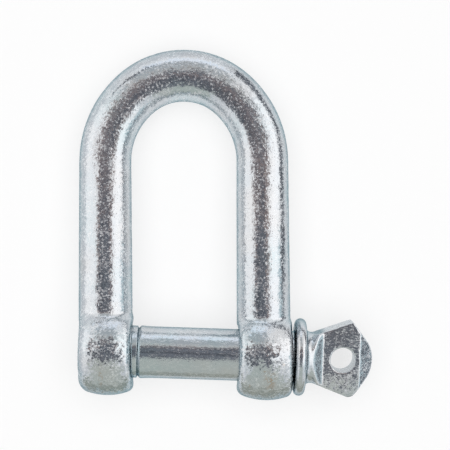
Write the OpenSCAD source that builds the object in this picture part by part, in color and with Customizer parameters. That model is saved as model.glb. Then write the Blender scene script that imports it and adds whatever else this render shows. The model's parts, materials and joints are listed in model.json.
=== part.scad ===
// Chain joining shackle: a forged bow with two ball eyes, closed by a screw pin.
// It lies on its side as it comes to rest, on both eyes and the crown.
// X runs along the pin towards its head, Y along the floor towards the crown, Z is up.
// The origin is on the pin's axis, halfway between the eyes. Lengths are millimetres.

/* [Bow] */
// Diameter of the round bar
bar_d = 16; // [12:0.5:20]
// Growth of the bar's diameter from the crown down to the eyes
leg_swell = 0.7; // [0:0.1:1]
// Clear width between the legs
jaw_w = 32; // [26:1:48]
// Clear length from the middle of the pin to the inside of the crown
inside_len = 69; // [54:1:96]
// How much longer the leg on the head's side was forged
leg_difference = 1.9; // [0:0.1:4]
// Centreline radius of the bend at the top of the crown
crown_r = 22; // [18:0.5:24]
// Half angle of that bend, before it opens out into the legs
crown_half_angle = 40; // [20:1:60]

/* [Eyes] */
// Steel around the plain hole, to the outside of the ball
eye_wall = 5.25; // [4:0.25:8]
// How far each flat of an eye stands proud of the leg
eye_proud = 0.1; // [0.1:0.1:1.5]
// Radius of an eye's barrel shape, seen across the pin
barrel_r = 20; // [16:0.5:30]
// Rounding where a flat meets the barrel
eye_edge_r = 2.8; // [0.5:0.1:4]
// Rounding of the tapped eye's outer edge
end_edge_r = 5; // [0.5:0.1:5.5]
// Fillet between the leg and the eye
shoulder_r = 2; // [1:0.25:4]
// Chamfer round both mouths of each pin hole
mouth_chamfer = 0.6; // [0.3:0.1:1.2]

/* [Pin] */
// Diameter of the plain shank
shank_d = 15.7; // [12:0.1:18]
// Height of the lip left at the thread's end of the shank
lip_h = 0.2; // [0.1:0.05:0.6]
// Length over which that lip fades into the shank
lip_len = 3; // [1:0.5:6]
// Major diameter of the thread
thread_d = 15.8; // [12:0.1:18]
// Length of thread that shows beside the tapped eye
thread_show = 2.1; // [0.5:0.1:6]
// Width of the run-out groove behind the thread
groove_w = 1; // [0.6:0.1:2]
// Depth of the run-out groove
groove_h = 0.6; // [0.2:0.1:1.2]
// Chamfer on the threaded tip
tip_chamfer = 1.5; // [0.5:0.1:3]
// Distance of the threaded tip inside the outer face of the tapped eye
tip_recess = 0.4; // [0:0.1:3]
// Radial play of the shank's lip and thread in the plain hole
hole_play = 0.2; // [0.1:0.05:0.6]
// Radial play of the thread in the tapped hole
thread_play = 0.1; // [0.05:0.05:0.3]
// Gap between the collar and the eye it seats on
seat_gap = 0.6; // [0.1:0.1:1]

/* [Head] */
// Outside diameter of the collar
collar_d = 23.6; // [20:0.2:30]
// Thickness of the collar, whose rim is half round
collar_t = 3.5; // [2:0.1:6]
// Diameter of the neck between collar and lug
neck_d = 15.4; // [12:0.1:18]
// Fillet between the neck and the collar
neck_fillet_r = 1.5; // [0.5:0.1:1.8]
// Distance from the collar to where the lug starts to widen
neck_len = 3.2; // [2:0.1:5]
// Distance from the collar to the lug's widest point
lug_reach = 13.9; // [10:0.2:18]
// Width of the lug at its widest
lug_w = 23.2; // [20:0.2:28]
// Thickness of the lug across its flats
lug_t = 9.5; // [6:0.25:11]
// Length of the nose beyond the widest point
nose_len = 6.5; // [4:0.1:6.6]
// Angle of the nose's shoulders to the pin's axis
nose_angle = 52; // [46:1:53]
// Thickness left at the end of the nose
nose_t = 2; // [1:0.25:4]
// Angle of the ramps and bevels at both ends of the flats
flat_angle = 42; // [35:1:60]
// Distance from the collar to where the flats start
flat_start = 5; // [3:0.1:6]
// Rounding of the lug's upper corner
corner_r_upper = 0.6; // [0.3:0.1:3]
// Rounding of the lug's lower corner
corner_r_lower = 3; // [0.3:0.1:4]
// Diameter of the hole through the lug
hole_d = 7.4; // [4:0.1:10]
// Distance from the collar to the hole's centre
hole_reach = 11.1; // [8.5:0.1:12]
// Turn of the lug about the pin, away from the plane of the bow
lug_turn = 6; // [-90:1:90]

/* [Hidden] */
$fn = 96;

// Lengths of bar and head lap into each other, one a hair thicker, so that each joint is clean
lap = 0.5;
hair = 0.02;
// Share by which an arc overshoots the edges that it eases into
ease = 0.03;
// How far a cut runs past what it cuts
beyond = 1;
zinc = [0.76, 0.79, 0.81];

// Bow
bar_r = bar_d / 2;
leg_r = bar_r + leg_swell / 2;
leg_x = jaw_w / 2 + bar_r;
skew = atan(leg_difference / (2 * leg_x));
crown_side_r = (leg_x - crown_r * sin(crown_half_angle)) / (1 - sin(crown_half_angle));
crown_top = shank_d / 2 + inside_len + bar_r;
crown_y = crown_top - leg_difference / 2 - crown_r;
spring_y = crown_y - (crown_side_r - crown_r) * cos(crown_half_angle);

// Eyes, whose flats are square to the pin
eye_x = leg_x / cos(skew);
eye_half_t = leg_r + eye_proud;
plain_hole_d = max(shank_d + 2 * lip_h, thread_d) + 2 * hole_play;
tapped_hole_d = thread_d + 2 * thread_play;
eye_r = plain_hole_d / 2 + eye_wall;
shoulder_y = sqrt(pow(eye_r + shoulder_r, 2) - pow(leg_r + shoulder_r, 2));

// Lean that sets the crown on the same floor as the eyes
rest_tilt = asin((eye_r - bar_r - hair) / crown_top);

// Stations along the pin
tip_x = -eye_x - eye_half_t + tip_recess;
shank_x = -eye_x + eye_half_t + thread_show;
collar_x = eye_x + eye_half_t + seat_gap;
head_x = collar_x + collar_t;
corner_x = head_x + lug_reach;
nose_x = corner_x + nose_len;
neck_r = neck_d / 2;
shank_r = shank_d / 2;
thread_r = thread_d / 2;
lip_r = shank_r + lip_h;

// Nose: an arc on the pin's axis that eases into both shoulders
nose_r = (1 + ease) * (lug_w / 2 * cos(nose_angle) - nose_len * sin(nose_angle)) / (1 - sin(nose_angle));
flare_angle = atan((lug_w / 2 - neck_r) / (lug_reach - neck_len));
ramp_x = head_x + flat_start - (neck_r - lug_t / 2) / tan(flat_angle);
bevel_len = (lug_t - nose_t) / 2 / tan(flat_angle);

module about_x() {
    rotate([0, 90, 0]) children();
}

// Places what is drawn in the bow's own plane, where the legs run along Y
module in_bow_plane() {
    rotate([0, 0, skew]) translate([0, leg_difference / 2, 0]) children();
}

module at_rest() {
    rotate([-rest_tilt, 0, 0]) children();
}

// Length of bent bar, a hair thicker than its neighbours or lapped into them
module bent_bar(radius, from_angle, to_angle, extra) {
    rotate_extrude(start = from_angle, angle = to_angle - from_angle)
        translate([radius, 0]) circle(r = bar_r + extra);
}

module crown() {
    lap_angle = atan(lap / crown_side_r);
    translate([0, crown_y, 0])
        bent_bar(crown_r, 90 - crown_half_angle, 90 + crown_half_angle, hair);
    for (turn = [0, 180])
        rotate([0, turn, 0])
            translate([leg_x - crown_side_r, spring_y, 0])
                bent_bar(crown_side_r, -lap_angle, 90 - crown_half_angle + lap_angle, 0);
}

// Leg from its eye at eye_y up to the crown
module leg(side, eye_y) {
    translate([side * leg_x, eye_y, 0])
        rotate([-90, 0, 0]) cylinder(h = spring_y - eye_y, r1 = leg_r, r2 = bar_r + hair);
}

// What an arc takes off the edge between an eye's upper flat and its barrel
module eye_edge_cut(radius) {
    side = eye_half_t - radius;
    out = sqrt(pow(barrel_r - radius, 2) - pow(side, 2));
    centre = [eye_r - barrel_r + out, side];
    lean = [out, side] / (barrel_r - radius);
    difference() {
        polygon([
            centre,
            [centre.x, eye_half_t + beyond],
            [eye_r + beyond, eye_half_t + beyond],
            centre + (radius + beyond) * lean
        ]);
        translate(centre) circle(r = radius * (1 + ease));
    }
}

// Half section of an eye: radius from the pin's axis across, distance along the pin up
module eye_section(lower_edge_r, upper_edge_r) {
    difference() {
        intersection() {
            translate([eye_r - barrel_r, 0]) circle(r = barrel_r);
            translate([0, -eye_half_t]) square([eye_r + beyond, 2 * eye_half_t]);
        }
        eye_edge_cut(upper_edge_r);
        mirror([0, 1]) eye_edge_cut(lower_edge_r);
    }
}

// Fillet that carries the leg into the eye, trimmed to the flats
module shoulder() {
    foot = eye_r / (eye_r + shoulder_r);
    intersection() {
        rotate([-90, 0, skew]) rotate_extrude() difference() {
            polygon([
                [0, foot * shoulder_y],
                [foot * (leg_r + shoulder_r), foot * shoulder_y],
                [leg_r + shoulder_r, shoulder_y],
                [0, shoulder_y]
            ]);
            translate([leg_r + shoulder_r, shoulder_y]) circle(r = shoulder_r);
        }
        cube([2 * eye_half_t, 3 * eye_r, 3 * eye_r], center = true);
    }
}

module eye(side, left_edge_r) {
    translate([side * eye_x, 0, 0]) {
        about_x() rotate_extrude() eye_section(left_edge_r, eye_edge_r);
        shoulder();
    }
}

module pin_hole(side, diameter) {
    deep = eye_half_t - mouth_chamfer;
    translate([side * eye_x, 0, 0]) about_x() {
        cylinder(h = 2 * (eye_half_t + beyond), d = diameter, center = true);
        for (turn = [0, 180])
            rotate([turn, 0, 0]) translate([0, 0, deep])
                cylinder(
                    h = mouth_chamfer + beyond,
                    r1 = diameter / 2,
                    r2 = diameter / 2 + mouth_chamfer + beyond
                );
    }
}

module bow() {
    color(zinc) at_rest() difference() {
        union() {
            in_bow_plane() {
                crown();
                leg(-1, 0);
                leg(1, -leg_difference);
            }
            eye(-1, end_edge_r);
            eye(1, eye_edge_r);
        }
        pin_hole(-1, tapped_hole_d);
        pin_hole(1, plain_hole_d);
    }
}

// Half section of the turned part of the pin: radius across, place along the pin up
module pin_section() {
    rim_r = collar_t / 2;
    polygon([
        [0, tip_x],
        [thread_r - tip_chamfer, tip_x],
        [thread_r, tip_x + tip_chamfer],
        [thread_r, shank_x - groove_w],
        [thread_r - groove_h, shank_x - groove_w / 2],
        [lip_r, shank_x],
        [shank_r, shank_x + lip_len],
        [shank_r, collar_x + rim_r],
        [0, collar_x + rim_r]
    ]);
    translate([0, collar_x]) square([collar_d / 2 - rim_r, collar_t]);
    translate([collar_d / 2 - rim_r, collar_x + rim_r]) circle(r = rim_r);
    translate([0, head_x - rim_r]) square([neck_r, rim_r + ramp_x - head_x]);
    difference() {
        translate([0, head_x]) square([neck_r + neck_fillet_r, neck_fillet_r]);
        translate([neck_r + neck_fillet_r, head_x + neck_fillet_r]) circle(r = neck_fillet_r);
    }
}

// What an arc takes off the corner between the lug's flare and its nose
module corner_cut(radius) {
    corner = [corner_x, lug_w / 2];
    half = (180 - flare_angle - nose_angle) / 2;
    inward = 270 + (flare_angle - nose_angle) / 2;
    depth = radius * (1 - ease);
    centre = corner + depth / sin(half) * [cos(inward), sin(inward)];
    difference() {
        polygon([
            corner - depth / tan(half) * [cos(flare_angle), sin(flare_angle)],
            corner - beyond * [cos(inward), sin(inward)],
            corner + depth / tan(half) * [cos(nose_angle), -sin(nose_angle)],
            centre
        ]);
        translate(centre) circle(r = radius);
    }
}

// What the nose's arc takes off the point where both shoulders would meet
module nose_cut() {
    cut_x = nose_x - nose_r * (1 - sin(nose_angle));
    difference() {
        translate([cut_x, -lug_w]) square([lug_w, 2 * lug_w]);
        translate([nose_x - nose_r, 0]) circle(r = nose_r);
    }
}

// Outline of the lug in its own plane, pin's axis across
module lug_outline() {
    point_x = corner_x + lug_w / 2 / tan(nose_angle);
    difference() {
        polygon([
            [ramp_x - 2 * lap, -neck_r],
            [head_x + neck_len, -neck_r],
            [corner_x, -lug_w / 2],
            [point_x, 0],
            [corner_x, lug_w / 2],
            [head_x + neck_len, neck_r],
            [ramp_x - 2 * lap, neck_r]
        ]);
        nose_cut();
        corner_cut(corner_r_upper);
        mirror([0, 1]) corner_cut(corner_r_lower);
    }
}

// Side view of the lug: ramps down from the neck, flats, bevels to the nose
module lug_side() {
    half_t = lug_t / 2;
    upper = [
        [ramp_x - 2 * lap, neck_r],
        [ramp_x, neck_r],
        [head_x + flat_start, half_t],
        [nose_x - bevel_len, half_t],
        [nose_x + beyond, half_t - (bevel_len + beyond) * tan(flat_angle)]
    ];
    lower = [for (i = [len(upper) - 1 : -1 : 0]) [upper[i].x, -upper[i].y]];
    polygon(concat(upper, lower));
}

// Cone along which the lug's corners grow out of the round neck
module lug_flare() {
    grow = nose_x + beyond - ramp_x;
    about_x() rotate_extrude() polygon([
        [0, ramp_x - lap],
        [neck_r - hair, ramp_x - lap],
        [neck_r - hair, ramp_x],
        [neck_r - hair + grow, ramp_x + grow],
        [0, ramp_x + grow]
    ]);
}

module lug() {
    rotate([lug_turn, 0, 0]) difference() {
        intersection() {
            linear_extrude(height = 2 * neck_d, center = true) lug_outline();
            rotate([90, 0, 0]) linear_extrude(height = 2 * lug_w, center = true) lug_side();
            lug_flare();
        }
        translate([head_x + hole_reach, 0, 0]) cylinder(h = 2 * lug_t, d = hole_d, center = true);
    }
}

module screw_pin() {
    color(zinc) at_rest() union() {
        about_x() rotate_extrude() pin_section();
        lug();
    }
}

bow();
screw_pin();
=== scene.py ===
# %% [markdown]
# # A chain joining shackle in bright zinc
#
# The real shackle is two drop forgings: a bow of round bar with an eye at each end, and a screw pin that
# closes it. Both were dipped in a plating bath after they were shaped, so one thin, bright skin of zinc runs
# over every edge. This lesson loads the measured solids, gives each one a forged and plated skin, cuts the
# thread that the solids leave plain, and photographs the result on a white table.

# %% Load the measured solids
import bpy
import bmesh
import json
import math
from mathutils import Matrix, Vector

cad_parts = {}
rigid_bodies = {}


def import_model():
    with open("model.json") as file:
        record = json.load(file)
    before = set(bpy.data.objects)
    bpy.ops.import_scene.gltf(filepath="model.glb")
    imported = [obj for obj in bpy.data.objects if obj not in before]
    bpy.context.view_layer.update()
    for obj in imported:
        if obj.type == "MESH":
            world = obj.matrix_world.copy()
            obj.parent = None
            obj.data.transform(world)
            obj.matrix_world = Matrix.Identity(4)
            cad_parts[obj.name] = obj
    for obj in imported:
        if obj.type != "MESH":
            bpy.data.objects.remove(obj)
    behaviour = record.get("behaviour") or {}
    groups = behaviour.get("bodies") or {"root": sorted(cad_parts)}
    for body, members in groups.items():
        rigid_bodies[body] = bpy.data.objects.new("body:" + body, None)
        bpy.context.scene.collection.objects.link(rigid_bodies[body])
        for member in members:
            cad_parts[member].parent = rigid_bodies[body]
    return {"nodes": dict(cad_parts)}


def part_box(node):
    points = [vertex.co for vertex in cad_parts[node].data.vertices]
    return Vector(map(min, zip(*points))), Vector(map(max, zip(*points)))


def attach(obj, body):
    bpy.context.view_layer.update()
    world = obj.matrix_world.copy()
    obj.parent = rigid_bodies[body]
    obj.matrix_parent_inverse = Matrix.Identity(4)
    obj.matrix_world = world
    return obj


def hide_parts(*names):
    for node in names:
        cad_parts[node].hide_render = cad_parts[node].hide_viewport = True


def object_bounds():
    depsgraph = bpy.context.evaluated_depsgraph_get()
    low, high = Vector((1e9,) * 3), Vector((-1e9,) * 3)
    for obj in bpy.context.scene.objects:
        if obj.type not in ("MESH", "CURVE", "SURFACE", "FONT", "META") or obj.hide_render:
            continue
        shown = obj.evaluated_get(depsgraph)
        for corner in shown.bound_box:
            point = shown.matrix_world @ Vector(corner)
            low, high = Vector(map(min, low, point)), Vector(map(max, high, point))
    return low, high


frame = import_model()
cad_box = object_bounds()
floor_z = cad_box[0][2]
MM = 0.001
print("solids:", sorted(frame["nodes"]), "floor at", round(floor_z / MM, 2), "mm")

# %% [markdown]
# ## The camera
#
# The picture was taken from almost straight above, with a long lens. The camera's turn, its distance and the
# scale of the picture were found by laying the solids' outline over the outline in the photograph. The scale
# and the distance together give the lens, so the lens isn't chosen by eye.

# %% Camera
PICTURE_PX = 450
PX_PER_MM = 3.295
DISTANCE = 455 * MM
YAW, TILT, ROLL = (math.radians(angle) for angle in (1.01, 0.47, -1.97))
LOOK_AT = Vector((0, 38 * MM, 0))
OFF_CENTRE = Vector((-10.89 * MM, -0.94 * MM, 0))
SENSOR_WIDTH = 36
NEAREST_SEEN = 10 * MM

turn = Matrix.Rotation(ROLL, 3, "Z") @ Matrix.Rotation(TILT, 3, "X") @ Matrix.Rotation(YAW, 3, "Y")
camera_data = bpy.data.cameras.new("camera")
camera_data.sensor_width = SENSOR_WIDTH
camera_data.lens = SENSOR_WIDTH * PX_PER_MM * DISTANCE / MM / PICTURE_PX
camera_data.clip_start = NEAREST_SEEN
camera = bpy.data.objects.new("camera", camera_data)
stand = LOOK_AT + turn.transposed() @ (Vector((0, 0, DISTANCE)) - OFF_CENTRE)
camera.matrix_world = Matrix.Translation(stand) @ turn.transposed().to_4x4()
scene = bpy.context.scene
scene.collection.objects.link(camera)
scene.camera = camera
scene.view_settings.view_transform = "Standard"
print("lens", round(camera_data.lens, 1), "mm, camera", [round(v / MM) for v in stand], "mm")

# %% [markdown]
# ## Helpers for node trees
#
# Materials and Geometry Nodes are both trees of small steps. Four helpers keep them short: one adds a node
# and fills its sockets with values or links, one does a sum with a Math node, one fits a range of values to
# another, and one starts a material with an empty tree.

# %% Node helpers
RISING = (0.0, 1.0)
FALLING = (1.0, 0.0)


def add(tree, kind, sockets=None, **settings):
    """Adds a node. A socket's value is a number, a colour, or another node's output to link."""
    made = tree.nodes.new(kind)
    for name, value in settings.items():
        setattr(made, name, value)
    for key, value in (sockets or {}).items():
        if isinstance(value, bpy.types.NodeSocket):
            tree.links.new(value, made.inputs[key])
        else:
            made.inputs[key].default_value = value
    return made


def calc(tree, operation, *values):
    """One sum on numbers or sockets, such as calc(tree, "ADD", height, lift)."""
    return add(tree, "ShaderNodeMath", dict(enumerate(values)), operation=operation).outputs[0]


def fit(tree, value, old, new, ease="LINEAR"):
    """Fits the range old = (low, high) to the range new, and holds the ends."""
    sockets = {"Value": value, "From Min": old[0], "From Max": old[1], "To Min": new[0], "To Max": new[1]}
    return add(tree, "ShaderNodeMapRange", sockets, interpolation_type=ease).outputs["Result"]


def fresh_material(name):
    """A material with an empty tree and its output node."""
    material = bpy.data.materials.new(name)
    material.use_nodes = True
    material.node_tree.nodes.clear()
    return material, material.node_tree, material.node_tree.nodes.new("ShaderNodeOutputMaterial")


# %% [markdown]
# ## The white table
#
# Bright metal has hardly any colour of its own: what it shows is the room. One soft lamp high over a table of
# white paper gives the light, and a dim, even surround fills the shadows. Seen directly, in metal or through
# glass, the surround is plain white, because a picture of bright metal needs something bright to mirror.

# %% White surround
FILL_LEVEL = 0.38
SEEN_LEVEL = 1.0
WHITE_LIGHT = (1, 1, 1, 1)


def seen(tree):
    """1 for what is seen directly, in metal or through glass, 0 for light on its way to matt things."""
    ray = add(tree, "ShaderNodeLightPath").outputs
    direct = calc(tree, "MAXIMUM", ray["Is Camera Ray"], ray["Is Transmission Ray"])
    return calc(tree, "MAXIMUM", direct, ray["Is Glossy Ray"])


world = bpy.data.worlds.new("white_room")
world.use_nodes = True
surround = world.node_tree.nodes["Background"].inputs
surround["Color"].default_value = WHITE_LIGHT
level = fit(world.node_tree, seen(world.node_tree), RISING, (FILL_LEVEL, SEEN_LEVEL))
world.node_tree.links.new(level, surround["Strength"])
scene.world = world
print("surround lights at", FILL_LEVEL, "and is seen at", SEEN_LEVEL)

# %% Lamp
LAMP_HEIGHT = 900 * MM
LAMP_SIZE = 1200 * MM
LAMP_WATTS = 8.8

lamp_data = bpy.data.lights.new("lamp", "AREA")
lamp_data.shape = "SQUARE"
lamp_data.size = LAMP_SIZE
lamp_data.energy = LAMP_WATTS
lamp = bpy.data.objects.new("lamp", lamp_data)
lamp.location = LOOK_AT + Vector((0, 0, LAMP_HEIGHT))
lamp.visible_glossy = False
scene.collection.objects.link(lamp)
print("lamp of", LAMP_WATTS, "W at", LAMP_HEIGHT / MM, "mm")

# %% Table
PAPER = (0.9, 0.9, 0.9, 1)
PAPER_GLOW = 0.65
TABLE_HALF = 4.0
SQUARE = ((-1, -1), (1, -1), (1, 1), (-1, 1))


def paper_material():
    """White paper that keeps a shadow, and is lifted towards white where it is seen."""
    material, tree, output = fresh_material("white_paper")
    paper = add(tree, "ShaderNodeBsdfDiffuse", {"Color": PAPER}).outputs[0]
    glow = add(tree, "ShaderNodeEmission", {"Color": WHITE_LIGHT, "Strength": SEEN_LEVEL}).outputs[0]
    share = calc(tree, "MULTIPLY", seen(tree), PAPER_GLOW)
    table = add(tree, "ShaderNodeMixShader", {"Fac": share, 1: paper, 2: glow}).outputs[0]
    tree.links.new(table, output.inputs["Surface"])
    return material


def flat_card(name, corners, material):
    """One flat sheet of the studio, not part of the shackle."""
    mesh = bpy.data.meshes.new(name)
    mesh.from_pydata(corners, [], [range(len(corners))])
    mesh.materials.append(material)
    card = bpy.data.objects.new(name, mesh)
    scene.collection.objects.link(card)
    return card


flat_card("table", [(x * TABLE_HALF, y * TABLE_HALF, floor_z) for x, y in SQUARE], paper_material())
print("table", 2 * TABLE_HALF, "m square")

# %% [markdown]
# ## Cards in the room
#
# A photographer of shiny metal hangs cards where the metal would otherwise be white all over. They show in
# the metal alone: the camera doesn't see them, and they neither light nor shade the table. Each card is one
# tone, or two or three tones in soft patches, as a room behind a lens is, so that the grain of the forging
# finds light and dark in it.

# %% Tones of the cards
DARK = (0.06, 0.063, 0.075, 1)
SHADE = (0.085, 0.092, 0.115, 1)
DIM = (0.24, 0.255, 0.29, 1)
BROWN = (0.47, 0.30, 0.24, 1)
OLIVE = (0.555, 0.585, 0.545, 1)
MOSS = (0.41, 0.43, 0.385, 1)
GREY = (0.50, 0.53, 0.55, 1)
LIGHT_GREY = (0.70, 0.70, 0.68, 1)
TEAL = (0.63, 0.76, 0.80, 1)
PALE = (0.78, 0.79, 0.81, 1)
SOFT_WHITE = (1.14, 1.13, 1.12, 1)
BLUE_WHITE = (1.08, 1.14, 1.23, 1)
WHITE = (1.34, 1.32, 1.31, 1)
BRIGHT_WHITE = (1.48, 1.46, 1.45, 1)
print("tones from", DARK[:3], "to", BRIGHT_WHITE[:3])

# %% Card helpers
PATCH_DETAIL = 2.0
PATCH_RANGE = (0.38, 0.62)
DRIFT_SIZE = 3
CARD_GLOW = 1.0
CARD_PATCH = 60 * MM


def patches(tree, size):
    """Soft patches of a given size, from 0 to 1."""
    place = add(tree, "ShaderNodeTexCoord").outputs["Object"]
    soft = add(tree, "ShaderNodeTexNoise", {"Vector": place, "Scale": 1 / size, "Detail": PATCH_DETAIL})
    return fit(tree, soft.outputs["Fac"], PATCH_RANGE, RISING)


def mix_colour(tree, share, first, second):
    """The first colour, or the second where share is 1."""
    sockets = {"Factor": share, "A": first, "B": second}
    return add(tree, "ShaderNodeMix", sockets, data_type="RGBA").outputs["Result"]


def card_material(name, tones, patch):
    """A card of one tone, or of two in soft patches, the second drifting into a third."""
    material, tree, output = fresh_material(name)
    glow = add(tree, "ShaderNodeEmission", {"Color": tones[0], "Strength": CARD_GLOW})
    tree.links.new(glow.outputs[0], output.inputs["Surface"])
    if len(tones) > 1:
        drift = mix_colour(tree, patches(tree, DRIFT_SIZE * patch), tones[1], tones[-1])
        tone = mix_colour(tree, patches(tree, patch), tones[0], drift)
        tree.links.new(tone, glow.inputs["Color"])
    return material


def hang(name, corners, tones, patch=CARD_PATCH):
    """Hangs a card that only the metal sees."""
    card = flat_card(name, corners, card_material(name, tones, patch))
    card.visible_camera = False
    card.visible_diffuse = False
    card.visible_shadow = False


def hung(start):
    """The names of the cards hung so far whose names start so."""
    return [card.name for card in scene.objects if card.name.startswith(start)]


# %% [markdown]
# ## Dark cards overhead
#
# The dark cards round the lens give every round bar the dark band along its top. They hang at several
# heights: a far card shows at the same angles in the whole shackle, and a low one at other angles in each
# part of it. The low one over the crown is there for the pin. Brown strips just under the edges of the dark
# cards warm the edges of the dark bands.

# %% Cards round the lens
NEAR, BELOW_NEAR = 250 * MM, 247 * MM
FAR, BELOW_FAR = 1500 * MM, 1490 * MM
NEAR_PATCH = 50 * MM
FAR_PATCH = 300 * MM


def level_card(name, height, outline, tones, patch):
    """A level card. Its outline is a list of (x, y)."""
    hang(name, [(x, y, height) for x, y in outline], tones, patch)


def overhead(name, height, outline, tones, patch):
    """A level card whose outline is given as tangents of the angle from straight up."""
    level_card(name, height, [(x * height, y * height) for x, y in outline], tones, patch)


def rectangle(left, right, front, back):
    """The four corners of a rectangle, as (x, y)."""
    return [(left, front), (right, front), (right, back), (left, back)]


near_outline = [(-0.80, -0.25), (-0.55, -0.38), (0.30, -0.38), (0.52, -0.20), (0.52, 0.30), (0.35, 0.50),
                (-0.60, 0.50), (-0.80, 0.25)]
far_outline = [(-0.58, -0.20), (0.44, -0.20), (0.44, 0.30), (0.30, 0.56), (-0.46, 0.56), (-0.58, 0.30)]
brown_right = rectangle(0.27, 0.52, 0.08, 0.30)
brown_back = [(-0.80, 0.12), (-0.60, 0.12), (-0.42, 0.38), (-0.42, 0.50), (-0.60, 0.50), (-0.80, 0.25)]
brown_far = [(-0.58, 0.0), (-0.42, 0.0), (-0.30, 0.56), (-0.46, 0.56), (-0.58, 0.30)]

overhead("card_over_lens", NEAR, near_outline, (DARK, DIM), NEAR_PATCH)
overhead("card_far_over_lens", FAR, far_outline, (DARK, DIM, BROWN), FAR_PATCH)
overhead("card_brown_right", BELOW_NEAR, brown_right, (BROWN, DIM), NEAR_PATCH)
overhead("card_brown_back", BELOW_NEAR, brown_back, (BROWN, DIM), NEAR_PATCH)
overhead("card_brown_far", BELOW_FAR, brown_far, (BROWN, DIM), FAR_PATCH)
print("overhead:", hung("card_"))

# %% Low card for the pin
LOW, BELOW_LOW = 156 * MM, 154 * MM
LOW_PATCH = 30 * MM
LOW_LEFT, LOW_RIGHT = -110 * MM, 80 * MM
LOW_FRONT, LOW_BACK = 60 * MM, 104 * MM
STRIP_RIGHT = 25 * MM
STRIP_FRONT_LEFT, STRIP_FRONT_RIGHT = 90 * MM, 93 * MM
WARM_END = 58 * MM

low_outline = rectangle(LOW_LEFT, LOW_RIGHT, LOW_FRONT, LOW_BACK)
strip_outline = [(LOW_LEFT, STRIP_FRONT_LEFT), (STRIP_RIGHT, STRIP_FRONT_RIGHT), (STRIP_RIGHT, LOW_BACK),
                 (LOW_LEFT, LOW_BACK)]
warm_outline = rectangle(WARM_END, LOW_RIGHT, LOW_FRONT, LOW_BACK)
level_card("card_low_over_pin", LOW, low_outline, (SHADE, DIM, BROWN), LOW_PATCH)
level_card("card_brown_low", BELOW_LOW, strip_outline, (BROWN, DIM), LOW_PATCH)
level_card("card_brown_low_right", BELOW_LOW, warm_outline, (BROWN, DIM), LOW_PATCH)
print("low cards end", LOW_RIGHT / MM, "mm to the right")

# %% [markdown]
# ## Light cards round the sides
#
# White cards at the sides light the flanks of the legs. An olive card in front and grey ones behind keep the
# pin quiet, and a bluish strip low behind gives the pin the cold line along its upper side.

# %% Cards at the sides
WALL_TOP = 510 * MM


def wall(axis, top, foot, span):
    """A card that leans out across one axis. Top and foot are (distance, height), span its ends."""
    ends = [(foot, span[0]), (foot, span[1]), (top, span[1]), (top, span[0])]
    return [(out, along, up) if axis == "X" else (along, out, up) for (out, up), along in ends]


left_top, left_foot = (-300 * MM, WALL_TOP), (-420 * MM, floor_z)
left_span = (-20 * MM, 330 * MM)
right_top, right_foot = (300 * MM, WALL_TOP), (430 * MM, 15 * MM)
right_span = (-110 * MM, 420 * MM)
hang("card_left", wall("X", left_top, left_foot, left_span), (WHITE, SOFT_WHITE))
hang("card_right", wall("X", right_top, right_foot, right_span), (BRIGHT_WHITE, WHITE))
print("side cards are", WALL_TOP / MM, "mm high")

# %% Cards in front
front_top, front_foot = (-200 * MM, WALL_TOP), (-420 * MM, floor_z)
front_joints = (-420 * MM, -230 * MM, 250 * MM, 450 * MM)
far_left, olive_left, olive_right, far_right = front_joints
hang("card_in_front", wall("Y", front_top, front_foot, (olive_left, olive_right)), (OLIVE,))
hang("card_front_left", wall("Y", front_top, front_foot, (far_left, olive_left)), (PALE,))
hang("card_front_right", wall("Y", front_top, front_foot, (olive_right, far_right)), (PALE,))
print("front cards meet at", [round(x / MM) for x in front_joints], "mm")

# %% Cards behind
strip_foot = (173 * MM, 18 * MM)
behind_foot = (173 * MM, 69 * MM)
behind_middle = (215 * MM, 235 * MM)
behind_top = (290 * MM, WALL_TOP)
strip_span = (-70 * MM, 46 * MM)
foot_span = (-80 * MM, 46 * MM)
middle_span = (-140 * MM, 85 * MM)
top_span = (-240 * MM, 155 * MM)


def behind(name, low, low_span, high, high_span, tone):
    """A card behind the shackle, between two level lines. Each is (distance, height) and its two ends."""
    foot = [(x, *low) for x in low_span]
    head = [(x, *high) for x in reversed(high_span)]
    hang(name, foot + head, (tone,))


behind("card_behind", behind_foot, foot_span, behind_middle, middle_span, GREY)
behind("card_high_behind", behind_middle, middle_span, behind_top, top_span, LIGHT_GREY)
behind("card_low_behind", strip_foot, strip_span, behind_foot, strip_span, BLUE_WHITE)
print("all cards:", hung("card_"))

# %% [markdown]
# ## Mats and flags round the picture
#
# Below the horizon the metal mirrors the table. Mats and low upright flags stand just outside the picture.
# A mossy mat in front tones the lower side of the pin and the eyes. Dark flags on the right and behind draw
# the thin dark lines along the outside of the leg and the crown. Farther out to the right, a dark flag shows
# in the nose of the lug, and a teal one over it in the ramp.

# %% Mats
MAT_LIFT = 0.3 * MM
MAT_MARGIN = 3 * MM
MAT_REACH = 420 * MM
FRONT, BEHIND, LEFT = 0, 2, 3

aim = turn.transposed() @ Vector((0, 0, -1))
to_table = (floor_z - stand.z) / aim.z
middle = stand + to_table * aim
picture_half = PICTURE_PX / 2 / PX_PER_MM * MM * to_table / DISTANCE + MAT_MARGIN
mat_z = floor_z + MAT_LIFT
inner = [Vector((middle.x + x * picture_half, middle.y + y * picture_half, mat_z)) for x, y in SQUARE]
outer = [Vector((middle.x + x * MAT_REACH, middle.y + y * MAT_REACH, mat_z)) for x, y in SQUARE]
for side, name, tone in ((FRONT, "front", MOSS), (BEHIND, "behind", PALE), (LEFT, "left", PALE)):
    after = (side + 1) % len(SQUARE)
    hang("mat_" + name, [inner[side], inner[after], outer[after], outer[side]], (tone,))
print("picture covers", round(2 * picture_half / MM), "mm of the table")

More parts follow.
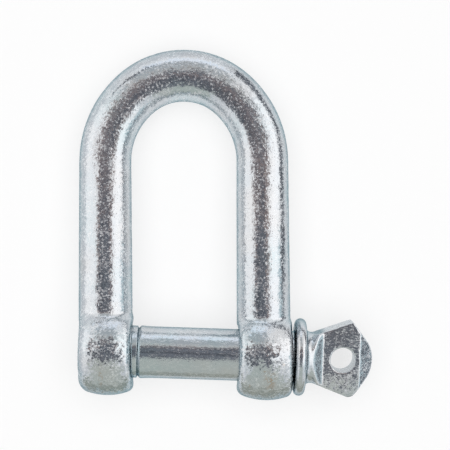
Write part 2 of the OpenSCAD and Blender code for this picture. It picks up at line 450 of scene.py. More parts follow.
# %% Flags
FLAG_TOP = 12 * MM
HIGH_FLAG_TOP = 26 * MM
FLAG_PATCH = 8 * MM
BACK_LEFT_END = -25 * MM
BACK_RIGHT_START = 26 * MM
LEG_FLAG_START = 25 * MM
LUG_FLAG_X = 150 * MM
LUG_FLAG_SPAN = (-70 * MM, 45 * MM)
NOSE_FLAG_TOP = 14 * MM
LUG_FLAG_TOP = 60 * MM
NOSE_PATCH = 24 * MM

front_left, front_right, back_right, _ = inner
back_left_span = (front_left.x, BACK_LEFT_END)
back_right_span = (BACK_RIGHT_START, back_right.x)
leg_span = (LEG_FLAG_START, back_right.y)
high_top, high_foot = (back_right.y, HIGH_FLAG_TOP), (back_right.y, FLAG_TOP)
back_top, back_foot = (back_right.y, FLAG_TOP), (back_right.y, mat_z)
leg_top, leg_foot = (front_right.x, FLAG_TOP), (front_right.x, mat_z)
nose_top, nose_foot = (LUG_FLAG_X, NOSE_FLAG_TOP), (LUG_FLAG_X, mat_z)
hang("flag_back_left", wall("Y", high_top, high_foot, back_left_span), (DARK, DIM), FLAG_PATCH)
hang("flag_back_right", wall("Y", back_top, back_foot, back_right_span), (DARK, DIM), FLAG_PATCH)
hang("flag_right", wall("X", leg_top, leg_foot, leg_span), (DARK, DIM), FLAG_PATCH)
hang("flag_nose", wall("X", nose_top, nose_foot, LUG_FLAG_SPAN), (DARK, DIM), NOSE_PATCH)
hang("flag_lug", wall("X", (LUG_FLAG_X, LUG_FLAG_TOP), nose_top, LUG_FLAG_SPAN), (TEAL,))
print("flags:", hung("flag_"))

# %% [markdown]
# ## Bright zinc
#
# Zinc plate is a metal: its colour tints what it mirrors, a cold blue-grey. At grazing angles the bar and the
# shank go dark teal. This is partly zinc's own edge tint and partly painted shade, which darkens the rims as
# if they mirrored a shaded table. Slow patches of tint stand for the film that the bath leaves. All the
# patterns below lie on Object coordinates, so they stay put when the shackle is seen from another side.

# %% Tint of the film
ZINC = (0.62, 0.655, 0.69, 1)
ZINC_TEAL = (0.585, 0.655, 0.685, 1)
ZINC_WARM = (0.645, 0.655, 0.67, 1)
FILM_PER_MM = 0.07
FILM_DETAIL = 3.0
NOISE_SPREAD = (0.35, 0.65)


def noise(tree, place, per_mm, **more):
    """Soft noise from 0 to 1, with about so many waves in a millimetre."""
    sockets = {"Vector": place, "Scale": per_mm / MM} | more
    return add(tree, "ShaderNodeTexNoise", sockets).outputs["Fac"]


def film_tint(tree, film):
    """From teal over plain zinc to a warmer grey, as the film's noise rises."""
    tint = add(tree, "ShaderNodeValToRGB", {"Fac": film})
    ends = tint.color_ramp.elements
    for end, position, colour in zip(ends, NOISE_SPREAD, (ZINC_TEAL, ZINC_WARM)):
        end.position = position
        end.color = colour
    ends.new(sum(NOISE_SPREAD) / len(NOISE_SPREAD)).color = ZINC
    return tint.outputs["Color"]


# %% [markdown]
# ## Pits and grain
#
# The forging under the zinc is pitted by scale and dulled by tumbling. A Voronoi texture scatters pits of
# different depth. Two finer ones tilt each small grain its own way, so that single grains flash or go dark
# at the edges between light and dark.

# %% Pits and grain
PITS_PER_MM = 1.6
PIT_DRIFT = 0.15
PIT_LUCK = (0.35, 1.0)
PIT_REACH = (0.0, 0.5)
PIT_BOWL = (-1.0, 0.0)
GRAINS_PER_MM = (1.0, 1.9)
NO_TILT = (0.5, 0.5, 0.5)


def pit_height(tree, place, film):
    """Scattered pits, from 0 on the surface to -1 in the deepest, thicker in some patches."""
    cells = add(tree, "ShaderNodeTexVoronoi", {"Vector": place, "Scale": PITS_PER_MM / MM})
    luck = add(tree, "ShaderNodeSeparateColor", {"Color": cells.outputs["Color"]}).outputs["Red"]
    density = fit(tree, film, NOISE_SPREAD, (-PIT_DRIFT, PIT_DRIFT))
    depth = fit(tree, calc(tree, "ADD", luck, density), PIT_LUCK, RISING)
    bowl = fit(tree, cells.outputs["Distance"], PIT_REACH, PIT_BOWL, ease="SMOOTHSTEP")
    return calc(tree, "MULTIPLY", bowl, depth)


def vector(tree, operation, *values, **scale):
    """One step on vectors, such as vector(tree, "ADD", place, shift)."""
    sockets = dict(enumerate(values)) | scale
    return add(tree, "ShaderNodeVectorMath", sockets, operation=operation).outputs[0]


def tilt_grains(tree, place, normal, lean):
    """Tilts each small grain of the surface its own way, by up to half of lean."""
    for per_mm in GRAINS_PER_MM:
        grains = add(tree, "ShaderNodeTexVoronoi", {"Vector": place, "Scale": per_mm / MM})
        way = vector(tree, "SUBTRACT", grains.outputs["Color"], NO_TILT)
        normal = vector(tree, "ADD", normal, vector(tree, "SCALE", way, Scale=lean))
    return vector(tree, "NORMALIZE", normal)


# %% [markdown]
# ## Flecks and stains
#
# Where pieces rubbed together in the barrel, small flecks of fresher, rougher zinc scatter the light. On the
# turned pin the flecks are finer and drawn out along its axis. A few brown stains sit on the lower side of
# the eyes, where the bath dried last. They are placed one by one and broken up by noise.

# %% Flecks and stains
FLECK_RANGE = (0.52, 0.68)
FLECK_DETAIL = 2.0
FLECK_ROUGHNESS = 0.6
THICK_PER_MM = 0.22
THICKER = 0.05
STAINS_PER_MM = 1.1
STAIN_DETAIL = 3.0
STAIN_EDGE = (0.2, 1.0)
STAIN_BREAK = (0.45, 0.57)
STAIN_SHARE = 0.85


def fleck_mask(tree, place, per_mm, stretch):
    """Small flecks of fresh zinc, from 0 to 1, drawn out along X and thicker in some patches."""
    drawn = vector(tree, "MULTIPLY", place, (1 / stretch, 1, 1))
    fine = noise(tree, drawn, per_mm, Detail=FLECK_DETAIL, Roughness=FLECK_ROUGHNESS)
    thick = fit(tree, noise(tree, place, THICK_PER_MM), NOISE_SPREAD, (-THICKER, THICKER))
    return fit(tree, calc(tree, "ADD", fine, thick), FLECK_RANGE, RISING)


def stain_mask(tree, place, stains):
    """Broken patches round each (x, y, half width, half length), in millimetres: 1 inside, 0 outside."""
    mask = 0.0
    for x, y, wide, long in stains:
        off = vector(tree, "SUBTRACT", place, (x * MM, y * MM, 0))
        off = vector(tree, "MULTIPLY", off, (1 / (wide * MM), 1 / (long * MM), 0))
        length = add(tree, "ShaderNodeVectorMath", {0: off}, operation="LENGTH").outputs["Value"]
        mask = calc(tree, "MAXIMUM", mask, fit(tree, length, STAIN_EDGE, FALLING))
    broken = noise(tree, place, STAINS_PER_MM, Detail=STAIN_DETAIL)
    return calc(tree, "MULTIPLY", mask, fit(tree, broken, STAIN_BREAK, (0.0, STAIN_SHARE)))


# %% [markdown]
# ## The two finishes
#
# One function puts the layers together: ripples, pits and grain bend the normal, and film, flecks and stains
# make the colour. The eyes and the lug were worked harder than the bar and the shank, so their grain is
# coarser. The lug is paler at grazing angles, because it goes without the painted rim shade of the bar and
# the shank. Each finish goes from one to the other along an axis.

# %% Zinc finish
RIPPLE_PER_MM = 0.7
RIPPLE_DETAIL = 2.0
ALL_METAL = 1.0
FRESH_ZINC = (0.86, 0.88, 0.90, 1)
STAIN = (0.52, 0.41, 0.33, 1)


def zinc_material(name, ripple_depth, pit_depth, sheen, lean, share, coarse, edge, per_mm, stretch=1.0,
                  stains=()):
    """Zinc over a forged grain. A sheen is the roughness of old and of fresh zinc. The pairs lean, share
    and edge give a value before the stretch coarse = (axis, from, to) and one after it."""
    material, tree, output = fresh_material(name)
    place = add(tree, "ShaderNodeTexCoord").outputs["Object"]
    axis, start, end = coarse
    along = add(tree, "ShaderNodeSeparateXYZ", {0: place}).outputs[axis]
    coarser = fit(tree, along, (start, end), RISING)
    film = noise(tree, place, FILM_PER_MM, Detail=FILM_DETAIL)
    ripple = noise(tree, place, RIPPLE_PER_MM, Detail=RIPPLE_DETAIL)
    waves = add(tree, "ShaderNodeBump", {"Height": ripple, "Distance": ripple_depth})
    pits = add(tree, "ShaderNodeBump", {
        "Height": pit_height(tree, place, film), "Distance": pit_depth, "Normal": waves.outputs["Normal"]})
    grain = tilt_grains(tree, place, pits.outputs["Normal"], fit(tree, coarser, RISING, lean))
    thickness = fit(tree, coarser, RISING, share)
    fleck = calc(tree, "MULTIPLY", fleck_mask(tree, place, per_mm, stretch), thickness)
    tint = mix_colour(tree, fleck, film_tint(tree, film), FRESH_ZINC)
    if stains:
        tint = mix_colour(tree, stain_mask(tree, place, stains), tint, STAIN)
    skin = add(tree, "ShaderNodeBsdfPrincipled", {
        "Base Color": tint, "Metallic": ALL_METAL, "Roughness": fit(tree, fleck, RISING, sheen),
        "Specular Tint": edge[0], "Normal": grain})
    if edge[0] != edge[1]:
        tree.links.new(mix_colour(tree, coarser, *edge), skin.inputs["Specular Tint"])
    tree.links.new(skin.outputs[0], output.inputs["Surface"])
    return material


# %% Finish of the bow and of the pin
# The dark teal edge tint of the bar and the shank is partly zinc's own and partly painted shade, which
# darkens the rims as if they mirrored a shaded table.
EDGE_TINT_WITH_PAINTED_SHADE = (0.32, 0.43, 0.47, 1)
LUG_EDGE_TINT = (0.80, 0.84, 0.86, 1)
EYES = ("Y", 9 * MM, 4 * MM)
LUG = ("X", 41 * MM, 42.5 * MM)
EYE_STAINS = [(25.6, -6.4, 2.6, 3.8), (19.4, -8.3, 0.9, 0.7), (23.9, -3.7, 1.0, 0.7), (29.5, -1.3, 0.7, 0.8),
              (-24.6, -6.6, 0.9, 4.0)]

forged_zinc = zinc_material(
    "forged_zinc", ripple_depth=0.05 * MM, pit_depth=0.05 * MM, sheen=(0.18, 0.52), lean=(0.08, 0.17),
    share=(1.0, 1.0), coarse=EYES, edge=(EDGE_TINT_WITH_PAINTED_SHADE, EDGE_TINT_WITH_PAINTED_SHADE), per_mm=1.5, stains=EYE_STAINS)
turned_zinc = zinc_material(
    "turned_zinc", ripple_depth=0.03 * MM, pit_depth=0.04 * MM, sheen=(0.18, 0.46), lean=(0.04, 0.10),
    share=(0.7, 1.0), coarse=LUG, edge=(EDGE_TINT_WITH_PAINTED_SHADE, LUG_EDGE_TINT), per_mm=2.6, stretch=3.0)
print("finishes:", forged_zinc.name, turned_zinc.name)

# %% [markdown]
# ## One even skin for each forging
#
# The solids come as long, thin triangles, which is right for measuring and wrong for a forged surface. A
# voxel Remesh lays an even net of small squares over the same form, and a few passes of Smooth round each
# sharp edge a little, as forging and plating do. A Bevel would need clean edges to work on, and these solids
# have few.

# %% Skin helper
MERGE = 0.001 * MM
EASE_FACTOR = 0.5


def cut_off(loose, cut_x):
    """Cuts off what lies to the left of a station, and closes the end."""
    everything = loose.verts[:] + loose.edges[:] + loose.faces[:]
    cut = bmesh.ops.bisect_plane(loose, geom=everything, plane_co=(cut_x, 0, 0), plane_no=(-1, 0, 0),
                                 clear_outer=True)
    rim = [part for part in cut["geom_cut"] if isinstance(part, bmesh.types.BMEdge)]
    bmesh.ops.holes_fill(loose, edges=rim)


def even_skin(node, voxel, passes, cut_x=None):
    """A working copy of a solid under an even net. Its modifiers are still live."""
    mesh = frame["nodes"][node].data.copy()
    loose = bmesh.new()
    loose.from_mesh(mesh)
    bmesh.ops.remove_doubles(loose, verts=loose.verts, dist=MERGE)
    if cut_x is not None:
        cut_off(loose, cut_x)
    loose.to_mesh(mesh)
    loose.free()
    mesh.materials.clear()
    work = bpy.data.objects.new(node + "_work", mesh)
    scene.collection.objects.link(work)
    net = work.modifiers.new("net", "REMESH")
    net.mode = "VOXEL"
    net.voxel_size = voxel
    net.use_smooth_shade = True
    ease = work.modifiers.new("ease", "SMOOTH")
    ease.factor = EASE_FACTOR
    ease.iterations = passes
    return work


# %% [markdown]
# ## Helpers for Geometry Nodes
#
# Each shape that follows a rule gets a Geometry Nodes tree with named inputs for its sizes. The tree sits on
# a working object. When all its inputs are set, the result is turned into a plain mesh and the working object
# goes, so that what is left needs no modifier.


# %% Geometry Nodes helpers
def new_tree(name, inputs):
    """A Geometry Nodes tree with named inputs. Returns it with its two ends."""
    tree = bpy.data.node_groups.new(name, "GeometryNodeTree")
    tree.interface.new_socket("Geometry", in_out="INPUT", socket_type="NodeSocketGeometry")
    for label, kind in inputs.items():
        tree.interface.new_socket(label, in_out="INPUT", socket_type="NodeSocket" + kind)
    tree.interface.new_socket("Geometry", in_out="OUTPUT", socket_type="NodeSocketGeometry")
    return tree, tree.nodes.new("NodeGroupInput").outputs, tree.nodes.new("NodeGroupOutput").inputs


def move(tree, geometry, **how):
    """Moves each point, by an Offset or to a Position."""
    return add(tree, "GeometryNodeSetPosition", {"Geometry": geometry} | how).outputs[0]


def close_tree(tree, geometry, finish, out):
    """Every tree ends the same way: real geometry, smooth, with its finish."""
    real = add(tree, "GeometryNodeRealizeInstances", {"Geometry": geometry}).outputs[0]
    smooth = add(tree, "GeometryNodeSetShadeSmooth", {"Geometry": real}).outputs[0]
    done = add(tree, "GeometryNodeSetMaterial", {"Geometry": smooth, "Material": finish}).outputs[0]
    tree.links.new(done, out["Geometry"])
    print("tree", tree.name, "has", len(tree.nodes), "nodes")


def empty_work(name):
    """A working object with nothing in it yet, for a tree that makes its own geometry."""
    work = bpy.data.objects.new(name, bpy.data.meshes.new(name))
    scene.collection.objects.link(work)
    return work


def grow(work, tree, values):
    """Puts a tree on a working object and fills its inputs by their identifiers."""
    modifier = work.modifiers.new(tree.name, "NODES")
    modifier.node_group = tree
    for item in tree.interface.items_tree:
        if item.in_out == "INPUT" and item.name in values:
            modifier[item.identifier] = values[item.name]


def settle(work, name):
    """Turns a working object into a plain, finished mesh and removes the working copy."""
    graph = bpy.context.evaluated_depsgraph_get()
    mesh = bpy.data.meshes.new_from_object(work.evaluated_get(graph))
    mesh.name = name
    piece = bpy.data.objects.new(name, mesh)
    scene.collection.objects.link(piece)
    bpy.data.objects.remove(work)
    triangles = sum(len(face.vertices) - 2 for face in mesh.polygons)
    print(name, "has", triangles, "triangles")
    return piece


def hand_over(piece, body, *nodes):
    """The piece rides on its body and stands for these solids, which are hidden."""
    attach(piece, body)
    if nodes:
        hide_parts(*nodes)


# %% [markdown]
# ## Forged unevenness
#
# No forging is dead true. Slow waves, less than a tenth of a millimetre deep, make the reflections wander as
# they do on the real bar, and towards the crown the top of the bar is struck a little flat. The tree pushes
# each point inwards along its normal, so that it never makes the skin grow past the solid.

# %% Tree for the forged unevenness
WAVE_DETAIL = 2.0
STRUCK_TOP = (0.82, 1.0)


def uneven_tree():
    tree, given, out = new_tree("forged_unevenness", {
        "Wave Length": "Float", "Wave Depth": "Float", "Seed": "Float", "Flat Depth": "Float",
        "Flat From Y": "Float", "Flat To Y": "Float", "Finish": "Material"})
    place = add(tree, "GeometryNodeInputPosition").outputs[0]
    normal = add(tree, "GeometryNodeInputNormal").outputs[0]
    scale = calc(tree, "DIVIDE", 1.0, given["Wave Length"])
    waves = add(tree, "ShaderNodeTexNoise", {
        "Vector": place, "W": given["Seed"], "Scale": scale, "Detail": WAVE_DETAIL}, noise_dimensions="4D")
    depth = calc(tree, "MULTIPLY", waves.outputs[0], given["Wave Depth"])
    along = add(tree, "ShaderNodeSeparateXYZ", {0: place}).outputs["Y"]
    facing_up = add(tree, "ShaderNodeSeparateXYZ", {0: normal}).outputs["Z"]
    flat_here = fit(tree, along, (given["Flat From Y"], given["Flat To Y"]), (0.0, given["Flat Depth"]))
    on_top = fit(tree, facing_up, STRUCK_TOP, RISING, ease="SMOOTHSTEP")
    flat = calc(tree, "MULTIPLY", flat_here, on_top)
    inwards = calc(tree, "MULTIPLY", calc(tree, "ADD", depth, flat), -1.0)
    push = vector(tree, "SCALE", normal, Scale=inwards)
    close_tree(tree, move(tree, given["Geometry"], Offset=push), given["Finish"], out)
    return tree


unevenness = uneven_tree()

# %% [markdown]
# ## The lean of the eyes
#
# One leg was forged a little longer than the other, so the legs stand slightly askew to the pin. The flats of
# the eyes were struck along with the legs and run with them. This tree slides each point of an eye along the
# pin, by a share of its distance from the pin's axis. A slide along the axis leaves the holes round and true.
# Above the axis only the half towards the pin's head moves, because on the other half the leg already stands
# proud of the eye. A forging also needs draft to leave its die, so the eyes grow narrower towards top and
# bottom. Only the flat that the collar faces was dressed true, and keeps its width.

# %% Tree that leans the eyes
BOTH_WAYS = (-1.0, 1.0)


def lean_tree():
    tree, given, out = new_tree("leaned_eyes", {
        "Lean": "Float", "Draft": "Float", "Eye X": "Float", "Eye Half Width": "Float", "Blend": "Float",
        "Leg From Y": "Float", "Leg To Y": "Float", "Finish": "Material"})
    place = add(tree, "GeometryNodeInputPosition").outputs[0]
    at = add(tree, "ShaderNodeSeparateXYZ", {0: place}).outputs
    eye_middle = calc(tree, "MULTIPLY", calc(tree, "SIGN", at["X"]), given["Eye X"])
    from_middle = calc(tree, "SUBTRACT", at["X"], eye_middle)
    on_eye = fit(tree, at["Y"], (given["Leg From Y"], given["Leg To Y"]), FALLING)

    blended = calc(tree, "DIVIDE", from_middle, given["Blend"])
    head_half = fit(tree, blended, BOTH_WAYS, RISING, ease="SMOOTHSTEP")
    below = calc(tree, "MINIMUM", at["Y"], 0.0)
    over = calc(tree, "MAXIMUM", at["Y"], 0.0)
    above = calc(tree, "MULTIPLY", over, calc(tree, "MULTIPLY", head_half, on_eye))
    from_axis = calc(tree, "ADD", below, above)
    slide = calc(tree, "MULTIPLY", from_axis, calc(tree, "MULTIPLY", given["Lean"], -1.0))

    across = calc(tree, "DIVIDE", from_middle, given["Eye Half Width"])
    on_right = calc(tree, "GREATER_THAN", at["X"], 0.0)
    facing_out = calc(tree, "GREATER_THAN", across, 0.0)
    seat = calc(tree, "MULTIPLY", on_right, facing_out)
    drafted = calc(tree, "MULTIPLY", on_eye, calc(tree, "SUBTRACT", 1.0, seat))
    narrower = calc(tree, "MULTIPLY", calc(tree, "ABSOLUTE", at["Z"]), given["Draft"])
    draw_in = calc(tree, "MULTIPLY", calc(tree, "MULTIPLY", across, drafted), narrower)

    shift = calc(tree, "SUBTRACT", slide, draw_in)
    along_pin = add(tree, "ShaderNodeCombineXYZ", {"X": shift}).outputs[0]
    close_tree(tree, move(tree, given["Geometry"], Offset=along_pin), given["Finish"], out)
    return tree


# %% [markdown]
# ## The bow
#
# The bow is one piece: its skin takes the lean first and the unevenness after it, and then stands for the
# measured solid.

# %% Bow
BOW_VOXEL = 0.44 * MM
BOW_PASSES = 10
LEG_EXTRA = 1.9 * MM
EYE_X = 24 * MM
EYE_HALF_WIDTH = 8.45 * MM
EYE_DRAFT = 0.065
LEAN_BLEND = 4 * MM
LEG_FROM_Y, LEG_TO_Y = 8 * MM, 13 * MM
FLAT_FROM_Y, FLAT_TO_Y = 42 * MM, 62 * MM
BOW_WAVE, BOW_WAVE_DEPTH, BOW_SEED = 6 * MM, 0.16 * MM, 3.0
CROWN_FLAT = 0.3 * MM

bow_work = even_skin("bow", BOW_VOXEL, BOW_PASSES)
grow(bow_work, lean_tree(), {
    "Lean": LEG_EXTRA / (2 * EYE_X), "Draft": EYE_DRAFT, "Eye X": EYE_X, "Eye Half Width": EYE_HALF_WIDTH,
    "Blend": LEAN_BLEND, "Leg From Y": LEG_FROM_Y, "Leg To Y": LEG_TO_Y, "Finish": forged_zinc})
grow(bow_work, unevenness, {
    "Wave Length": BOW_WAVE, "Wave Depth": BOW_WAVE_DEPTH, "Seed": BOW_SEED, "Flat Depth": CROWN_FLAT,
    "Flat From Y": FLAT_FROM_Y, "Flat To Y": FLAT_TO_Y, "Finish": forged_zinc})
bow_skin = settle(bow_work, "bow_skin")
hand_over(bow_skin, "bow", "bow")

# %% [markdown]
# ## The head of the pin
#
# Behind the collar the round neck flows into the flat lug. A hammer and a die leave no crease there, so this
# tree averages each point with its neighbours again and again, along the stretch of the neck alone. The lug's
# flat isn't dead flat either: its lower half falls away a little, which is why it mirrors lighter things
# there.

# %% Tree that dresses the head
TOP_SIDE = (0.0, 0.5)


def head_tree():
    tree, given, out = new_tree("dressed_head", {
        "Start X": "Float", "End X": "Float", "Blend": "Float", "Passes": "Int", "Fall": "Float",
        "Fall From Y": "Float", "Fall To Y": "Float", "Finish": "Material"})
    place = add(tree, "GeometryNodeInputPosition").outputs[0]
    at = add(tree, "ShaderNodeSeparateXYZ", {0: place}).outputs
    past_start = calc(tree, "DIVIDE", calc(tree, "SUBTRACT", at["X"], given["Start X"]), given["Blend"])
    before_end = calc(tree, "DIVIDE", calc(tree, "SUBTRACT", given["End X"], at["X"]), given["Blend"])
    inside = calc(tree, "MINIMUM", past_start, before_end)
    share = calc(tree, "MINIMUM", calc(tree, "MAXIMUM", inside, 0.0), 1.0)
    eased = add(tree, "GeometryNodeBlurAttribute", {
        "Value": place, "Iterations": given["Passes"], "Weight": share}, data_type="FLOAT_VECTOR").outputs[0]
    smooth = move(tree, given["Geometry"], Position=eased)

    down = fit(tree, at["Y"], (given["Fall From Y"], given["Fall To Y"]), RISING)
    normal = add(tree, "GeometryNodeInputNormal").outputs[0]
    upward = add(tree, "ShaderNodeSeparateXYZ", {0: normal}).outputs["Z"]
    facing_up = fit(tree, upward, TOP_SIDE, RISING)
    on_lug = fit(tree, at["X"], (given["Start X"], given["End X"]), RISING)
    where = calc(tree, "MULTIPLY", facing_up, on_lug)
    fall = calc(tree, "MULTIPLY", calc(tree, "MULTIPLY", down, down), where)
    drop = calc(tree, "MULTIPLY", calc(tree, "MULTIPLY", fall, given["Fall"]), -1.0)
    downwards = add(tree, "ShaderNodeCombineXYZ", {"Z": drop}).outputs[0]
    close_tree(tree, move(tree, smooth, Offset=downwards), given["Finish"], out)
    return tree


# %% [markdown]
# ## The pin
#
# The pin's skin is cut off in the groove where the thread runs out, because the screwed end is made by
# itself. Its net is finer than the bow's, for the edges of the lug, and its waves are shallower, because the
# shank was turned.

# %% Pin
PIN_VOXEL = 0.245 * MM
PIN_PASSES = 6
GROOVE_X = -14.2 * MM
NECK_START_X, NECK_END_X = 37 * MM, 41.6 * MM
NECK_BLEND = 1.2 * MM
NECK_PASSES = 24
LUG_FALL = 0.6 * MM
FALL_FROM_Y, FALL_TO_Y = -3 * MM, -12 * MM
PIN_WAVE, PIN_WAVE_DEPTH, PIN_SEED = 5 * MM, 0.06 * MM, 8.0
NO_FLAT = 0.0

pin_work = even_skin("screw_pin", PIN_VOXEL, PIN_PASSES, cut_x=GROOVE_X)
grow(pin_work, head_tree(), {
    "Start X": NECK_START_X, "End X": NECK_END_X, "Blend": NECK_BLEND, "Passes": NECK_PASSES,
    "Fall": LUG_FALL, "Fall From Y": FALL_FROM_Y, "Fall To Y": FALL_TO_Y, "Finish": turned_zinc})
grow(pin_work, unevenness, {
    "Wave Length": PIN_WAVE, "Wave Depth": PIN_WAVE_DEPTH, "Seed": PIN_SEED, "Flat Depth": NO_FLAT,
    "Flat From Y": FLAT_FROM_Y, "Flat To Y": FLAT_TO_Y, "Finish": turned_zinc})
pin_skin = settle(pin_work, "pin_skin")
hand_over(pin_skin, "pin", "screw_pin")

# %% [markdown]
# ## The rolled thread
#
# The screwed end of the pin is a coarse metric thread. A thread is a rule: at each point, the distance along
# the pin less the turn round it, counted in pitches, says how far the point is from the crest. The tree takes
# a plain cylinder with many rings and pulls each point in to the radius that this rule gives, with a
# chamfered tip and a plain land where the thread runs out.

# %% Tree for the rolled thread
FLANK_SLOPE = 1 / math.tan(math.radians(30))
END_SLOPE = 2.0
HALF = 0.5
ON_ITS_SIDE = (0, math.pi / 2, 0)


def thread_tree():
    tree, given, out = new_tree("rolled_thread", {
        "Pitch": "Float", "Crest Radius": "Float", "Crest Half Width": "Float", "Depth": "Float",
        "Tip X": "Float", "Tip Radius": "Float", "Run Out X": "Float", "End X": "Float",
        "End Radius": "Float", "Land X": "Float", "Rings": "Int", "Sides": "Int", "Finish": "Material"})
    length = calc(tree, "SUBTRACT", given["End X"], given["Tip X"])
    blank = add(tree, "GeometryNodeMeshCylinder", {
        "Vertices": given["Sides"], "Side Segments": given["Rings"], "Radius": given["Crest Radius"],
        "Depth": length}, fill_type="TRIANGLE_FAN").outputs["Mesh"]
    half_way = calc(tree, "MULTIPLY", calc(tree, "ADD", given["Tip X"], given["End X"]), HALF)
    centre = add(tree, "ShaderNodeCombineXYZ", {"X": half_way}).outputs[0]
    lying = add(tree, "GeometryNodeTransform", {
        "Geometry": blank, "Translation": centre, "Rotation": ON_ITS_SIDE}).outputs[0]

    place = add(tree, "GeometryNodeInputPosition").outputs[0]
    at = add(tree, "ShaderNodeSeparateXYZ", {0: place}).outputs
    turns = calc(tree, "DIVIDE", calc(tree, "ARCTAN2", at["Z"], at["Y"]), math.tau)
    pitches = calc(tree, "SUBTRACT", calc(tree, "DIVIDE", at["X"], given["Pitch"]), turns)
    phase = calc(tree, "FRACT", calc(tree, "ADD", pitches, HALF))
    off_crest = calc(tree, "ABSOLUTE", calc(tree, "SUBTRACT", phase, HALF))
    from_crest = calc(tree, "MULTIPLY", off_crest, given["Pitch"])
    past_crest = calc(tree, "SUBTRACT", from_crest, given["Crest Half Width"])
    down_flank = calc(tree, "MULTIPLY", past_crest, FLANK_SLOPE)
    drop = calc(tree, "MINIMUM", calc(tree, "MAXIMUM", down_flank, 0.0), given["Depth"])

    run_out = fit(tree, at["X"], (given["Run Out X"], given["Land X"]), FALLING, ease="SMOOTHSTEP")
    cut = calc(tree, "SUBTRACT", given["Crest Radius"], calc(tree, "MULTIPLY", drop, run_out))
    tip = calc(tree, "ADD", given["Tip Radius"], calc(tree, "SUBTRACT", at["X"], given["Tip X"]))
    to_end = calc(tree, "MULTIPLY", calc(tree, "SUBTRACT", given["End X"], at["X"]), END_SLOPE)
    end = calc(tree, "ADD", given["End Radius"], to_end)
    radius = calc(tree, "MINIMUM", calc(tree, "MINIMUM", cut, tip), end)
    share = calc(tree, "DIVIDE", radius, given["Crest Radius"])
    pulled_in = add(tree, "ShaderNodeCombineXYZ", {
        "X": at["X"], "Y": calc(tree, "MULTIPLY", at["Y"], share),
        "Z": calc(tree, "MULTIPLY", at["Z"], share)}).outputs[0]
    close_tree(tree, move(tree, lying, Position=pulled_in), given["Finish"], out)
    return tree


# %% Pin's thread
PITCH = 2 * MM
CREST_R, CREST_HALF_WIDTH = 7.88 * MM, 0.125 * MM
THREAD_DEPTH = 1.15 * MM
TIP_R, TIP_INSET = 6.4 * MM, 0.02 * MM
RUN_OUT_X, LAND_X = -17.6 * MM, -15.6 * MM
END_R, END_OVERLAP = 7.15 * MM, 0.1 * MM
RINGS, SIDES = 240, 144

thread_work = empty_work("pin_thread_work")
grow(thread_work, thread_tree(), {
    "Pitch": PITCH, "Crest Radius": CREST_R, "Crest Half Width": CREST_HALF_WIDTH, "Depth": THREAD_DEPTH,
    "Tip X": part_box("screw_pin")[0].x + TIP_INSET, "Tip Radius": TIP_R, "Run Out X": RUN_OUT_X,
    "Land X": LAND_X, "End X": GROOVE_X + END_OVERLAP, "End Radius": END_R, "Rings": RINGS, "Sides": SIDES,
    "Finish": turned_zinc})
pin_thread = settle(thread_work, "pin_thread")
hand_over(pin_thread, "pin")

# %% [markdown]
# ## The tapped eye
#
# The far eye is tapped to match. Here the thread is a ridge that winds along the wall of the hole, so it is
# swept: a short line is bent into a helix, and a trapezoid follows it. The trapezoid lies along the hole, so
# the ridge is a saw tooth with its thick edge towards the jaw. The helix sits half a pitch off the pin's
# crests. When the pin is home, the thick edge still reaches into the flank of the pin's thread, out of sight.

# %% Tree for the tapped thread
RIDGE_ENDS = (0.0, 0.03)
RIDGE_TAPER = (0.05, 1.0)
NO_SKEW = 0.0


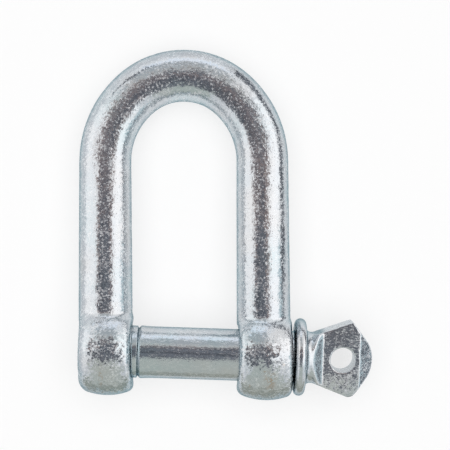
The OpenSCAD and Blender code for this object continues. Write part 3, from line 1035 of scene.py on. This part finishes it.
def tapped_tree():
    tree, given, out = new_tree("tapped_thread", {
        "Pitch": "Float", "Wall Radius": "Float", "Tooth Length": "Float", "Thick Edge": "Float",
        "Thin Edge": "Float", "Start X": "Float", "End X": "Float", "Points": "Int", "Finish": "Material"})
    line = add(tree, "GeometryNodeCurvePrimitiveLine", {"End": (0, 0, 1)}).outputs[0]
    fine = add(tree, "GeometryNodeResampleCurve", {"Curve": line, "Count": given["Points"]}).outputs[0]
    share = add(tree, "GeometryNodeSplineParameter").outputs["Factor"]
    length = calc(tree, "SUBTRACT", given["End X"], given["Start X"])
    x = calc(tree, "ADD", given["Start X"], calc(tree, "MULTIPLY", share, length))
    pitches = calc(tree, "ADD", calc(tree, "DIVIDE", x, given["Pitch"]), HALF)
    angle = calc(tree, "ADD", calc(tree, "MULTIPLY", pitches, math.tau), math.pi / 2)
    upright_helix = add(tree, "ShaderNodeCombineXYZ", {
        "X": calc(tree, "MULTIPLY", calc(tree, "COSINE", angle), given["Wall Radius"]),
        "Y": calc(tree, "MULTIPLY", calc(tree, "SINE", angle), given["Wall Radius"]), "Z": x}).outputs[0]
    helix = move(tree, fine, Position=upright_helix)
    upright = add(tree, "GeometryNodeSetCurveNormal", {"Curve": helix}, mode="Z_UP").outputs[0]

    off_middle = calc(tree, "ABSOLUTE", calc(tree, "SUBTRACT", share, HALF))
    taper = fit(tree, calc(tree, "SUBTRACT", HALF, off_middle), RIDGE_ENDS, RIDGE_TAPER)
    section = add(tree, "GeometryNodeCurvePrimitiveQuadrilateral", {
        "Bottom Width": given["Thick Edge"], "Top Width": given["Thin Edge"], "Height": given["Tooth Length"],
        "Offset": NO_SKEW}, mode="TRAPEZOID").outputs[0]
    ridge = add(tree, "GeometryNodeCurveToMesh", {
        "Curve": upright, "Profile Curve": section, "Scale": taper, "Fill Caps": True}).outputs[0]
    lying = add(tree, "GeometryNodeTransform", {"Geometry": ridge, "Rotation": ON_ITS_SIDE}).outputs[0]
    close_tree(tree, lying, given["Finish"], out)
    return tree


# %% Thread of the tapped eye
WALL_R = 7.5 * MM
TOOTH_LENGTH = 1.1 * MM
THICK_EDGE, THIN_EDGE = 1.6 * MM, 0.3 * MM
TAP_START_X, TAP_END_X = -31.6 * MM, -16.4 * MM
HELIX_POINTS = 600

tapped_work = empty_work("tapped_thread_work")
grow(tapped_work, tapped_tree(), {
    "Pitch": PITCH, "Wall Radius": WALL_R, "Tooth Length": TOOTH_LENGTH, "Thick Edge": THICK_EDGE,
    "Thin Edge": THIN_EDGE, "Start X": TAP_START_X, "End X": TAP_END_X, "Points": HELIX_POINTS,
    "Finish": turned_zinc})
tapped_thread = settle(tapped_work, "tapped_thread")
hand_over(tapped_thread, "bow")
